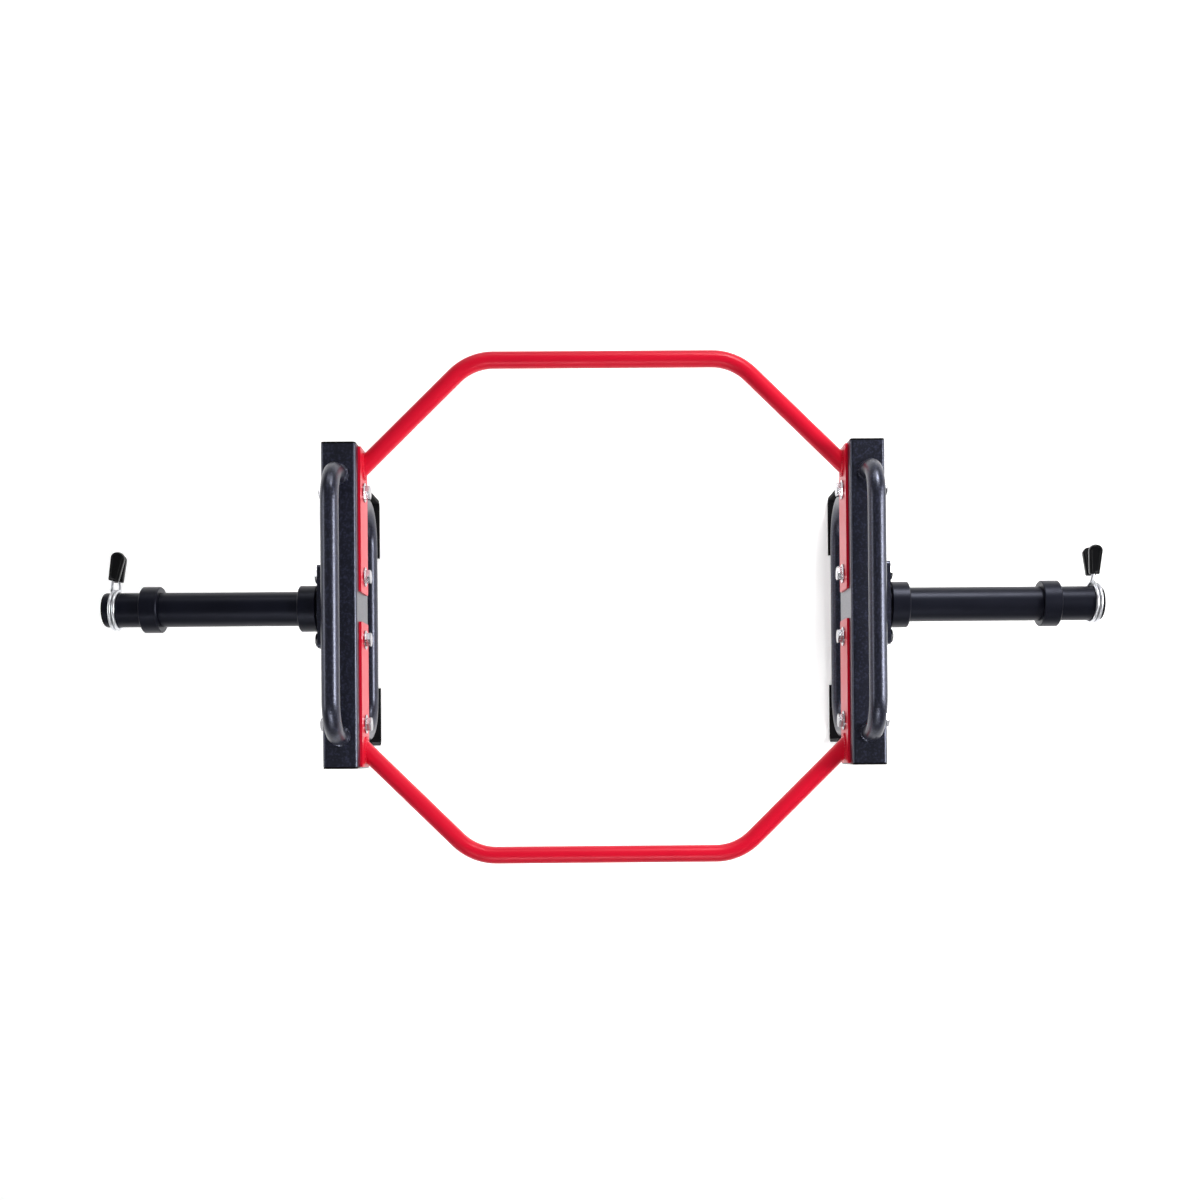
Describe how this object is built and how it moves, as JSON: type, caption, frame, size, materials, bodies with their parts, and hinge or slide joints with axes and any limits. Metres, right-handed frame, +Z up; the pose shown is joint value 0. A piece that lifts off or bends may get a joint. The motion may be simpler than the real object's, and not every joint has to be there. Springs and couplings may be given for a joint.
{
  "type": "hex trap bar",
  "caption": "Closed trap bar for deadlifts and carries: box side beams with raised and low handles, a bent tube frame to stand in, loading sleeves, loose rings and spring clips.",
  "frame": {"origin": "on the floor, under the middle of the bar", "axes": "+X to the right along the loading sleeves, +Y to the rear, where the clips' grips point, +Z up, towards the carry handles"},
  "size_m": [1.455, 0.749, 0.3707],
  "materials": {
    "black_coat": "satin black powder coat",
    "red_coat": "gloss red powder coat",
    "black_sleeve": "smooth satin black coat",
    "zinc": "bright zinc plate",
    "chrome_wire": "polished",
    "black_plastic": "fine moulded grain"
  },
  "bodies": {
    "bar": {"front_frame_tube": "red_coat", "left_beam": "black_coat", "left_bolts": "zinc", "left_carry_handle": "black_coat", "left_front_beam_cap": "black_plastic", "left_front_foot": "black_coat", "left_front_frame_plate": "red_coat", "left_head_washers": "zinc", "left_nut_washers": "zinc", "left_nuts": "zinc", "left_rear_beam_cap": "black_plastic", "left_rear_foot": "black_coat", "left_rear_frame_plate": "red_coat", "left_sleeve": "black_sleeve", "left_sleeve_flange": "black_coat", "left_sleeve_plug": "black_plastic", "left_stand_hoop": "black_coat", "left_stop_collar": "black_sleeve", "rear_frame_tube": "red_coat", "right_beam": "black_coat", "right_bolts": "zinc", "right_carry_handle": "black_coat", "right_front_beam_cap": "black_plastic", "right_front_foot": "black_coat", "right_front_frame_plate": "red_coat", "right_head_washers": "zinc", "right_nut_washers": "zinc", "right_nuts": "zinc", "right_rear_beam_cap": "black_plastic", "right_rear_foot": "black_coat", "right_rear_frame_plate": "red_coat", "right_sleeve": "black_sleeve", "right_sleeve_flange": "black_coat", "right_sleeve_plug": "black_plastic", "right_stand_hoop": "black_coat", "right_stop_collar": "black_sleeve"},
    "left_ring": {"left_loose_ring": "black_sleeve"},
    "left_clip": {"left_clip_spring": "chrome_wire"},
    "left_upper_handle": {"left_upper_grip": "black_plastic"},
    "left_lower_handle": {"left_lower_grip": "black_plastic"},
    "right_ring": {"right_loose_ring": "black_sleeve"},
    "right_clip": {"right_clip_spring": "chrome_wire"},
    "right_upper_handle": {"right_upper_grip": "black_plastic"},
    "right_lower_handle": {"right_lower_grip": "black_plastic"}
  },
  "joints": [
    {"name": "left_ring_slide", "type": "slide", "parent": "bar", "child": "left_ring", "axis": [-1, 0, 0], "range_m": [-0.2015, 0.018]},
    {"name": "left_clip_slide", "type": "slide", "parent": "bar", "child": "left_clip", "axis": [-1, 0, 0], "range_m": [-0.0152, 0.06]},
    {"name": "left_upper_squeeze", "type": "hinge", "parent": "left_clip", "child": "left_upper_handle", "pos_m": [-0.7123, 0, 0.24], "axis": [-1, 0, 0], "range_deg": [0, 5.5], "stiffness_Nm_per_rad": 8, "deforming": ["left_clip_spring"]},
    {"name": "left_lower_squeeze", "type": "hinge", "parent": "left_clip", "child": "left_lower_handle", "pos_m": [-0.7123, 0, 0.24], "axis": [1, 0, 0], "range_deg": [0, 5.5], "stiffness_Nm_per_rad": 8},
    {"name": "right_ring_slide", "type": "slide", "parent": "bar", "child": "right_ring", "axis": [1, 0, 0], "range_m": [-0.1935, 0.024]},
    {"name": "right_clip_slide", "type": "slide", "parent": "bar", "child": "right_clip", "axis": [1, 0, 0], "range_m": [-0.0212, 0.06]},
    {"name": "right_upper_squeeze", "type": "hinge", "parent": "right_clip", "child": "right_upper_handle", "pos_m": [0.7162, 0, 0.24], "axis": [-1, 0, 0], "range_deg": [0, 5.5], "stiffness_Nm_per_rad": 8, "deforming": ["right_clip_spring"]},
    {"name": "right_lower_squeeze", "type": "hinge", "parent": "right_clip", "child": "right_lower_handle", "pos_m": [0.7162, 0, 0.24], "axis": [1, 0, 0], "range_deg": [0, 5.5], "stiffness_Nm_per_rad": 8}
  ],
  "couplings": [
    {"joint": "left_lower_squeeze", "follows": "left_upper_squeeze", "ratio": 1},
    {"joint": "right_lower_squeeze", "follows": "right_upper_squeeze", "ratio": 1}
  ]
}
